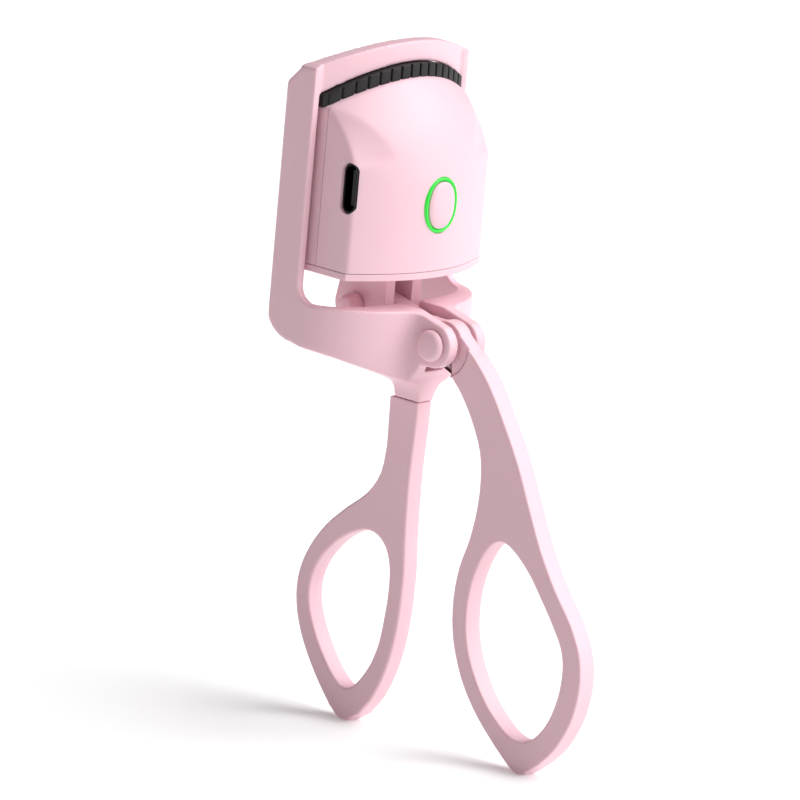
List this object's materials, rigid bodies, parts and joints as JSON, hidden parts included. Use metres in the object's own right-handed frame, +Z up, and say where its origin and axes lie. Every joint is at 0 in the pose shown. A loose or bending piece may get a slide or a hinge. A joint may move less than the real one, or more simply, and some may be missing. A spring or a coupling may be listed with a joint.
{
  "type": "heated eyelash curler",
  "caption": "Pink heated eyelash curler with two finger loops, a sliding heater head in a clamp frame and a lit button.",
  "frame": {"origin": "middle of the footprint, on the plane that both loop tips stand on", "axes": "+Z up along the rails to the jaw bar, -Y towards the front finger loop, X along the hinge pin"},
  "size_m": [0.0388, 0.0672, 0.1204],
  "materials": {
    "pink": "satin",
    "black": "matte",
    "steel": "bright",
    "ceramic": "matte",
    "amber": "gloss",
    "cell": "satin",
    "red_wire": "satin",
    "black_wire": "satin",
    "board": "gloss",
    "light": "translucent, lit"
  },
  "bodies": {
    "frame": {"clamp_frame": "pink", "rear_handle": "pink", "hinge_pin": "pink", "hinge_pin_cap": "pink"},
    "finger_lever": {"front_handle": "pink"},
    "head": {"head_front_shell": "pink", "head_rear_shell": "pink", "head_base_cap": "pink", "link_pin": "pink", "link_pin_cap": "pink", "heating_comb": "black", "heating_element": "ceramic", "thermistor": "amber", "battery": "cell", "battery_lead_plus": "red_wire", "battery_lead_minus": "black_wire", "button_board": "board", "main_board": "board", "usb_c_socket": "steel", "tact_switch": "black", "light_ring": "light", "led_upper": "light", "led_lower": "light", "heater_lead_left": "red_wire", "heater_lead_right": "black_wire", "shell_screw_1": "steel", "shell_screw_2": "steel", "shell_screw_3": "steel", "shell_screw_4": "steel"},
    "button": {"power_button": "pink"}
  },
  "joints": [
    {"name": "handle_hinge", "type": "hinge", "parent": "frame", "child": "finger_lever", "pos_m": [0, 0.0043, 0.0704], "axis": [-1, 0, 0], "range_deg": [0, 14.85]},
    {"name": "head_slide", "type": "slide", "parent": "frame", "child": "head", "axis": [0, 0, -1], "range_m": [0, 0.0049]},
    {"name": "button_press", "type": "slide", "parent": "head", "child": "button", "axis": [0, 1, 0], "range_m": [0, 0.0004], "stiffness_N_per_m": 300}
  ],
  "couplings": [
    {"joint": "head_slide", "follows": "handle_hinge", "m_per_rad": 0.01885}
  ]
}
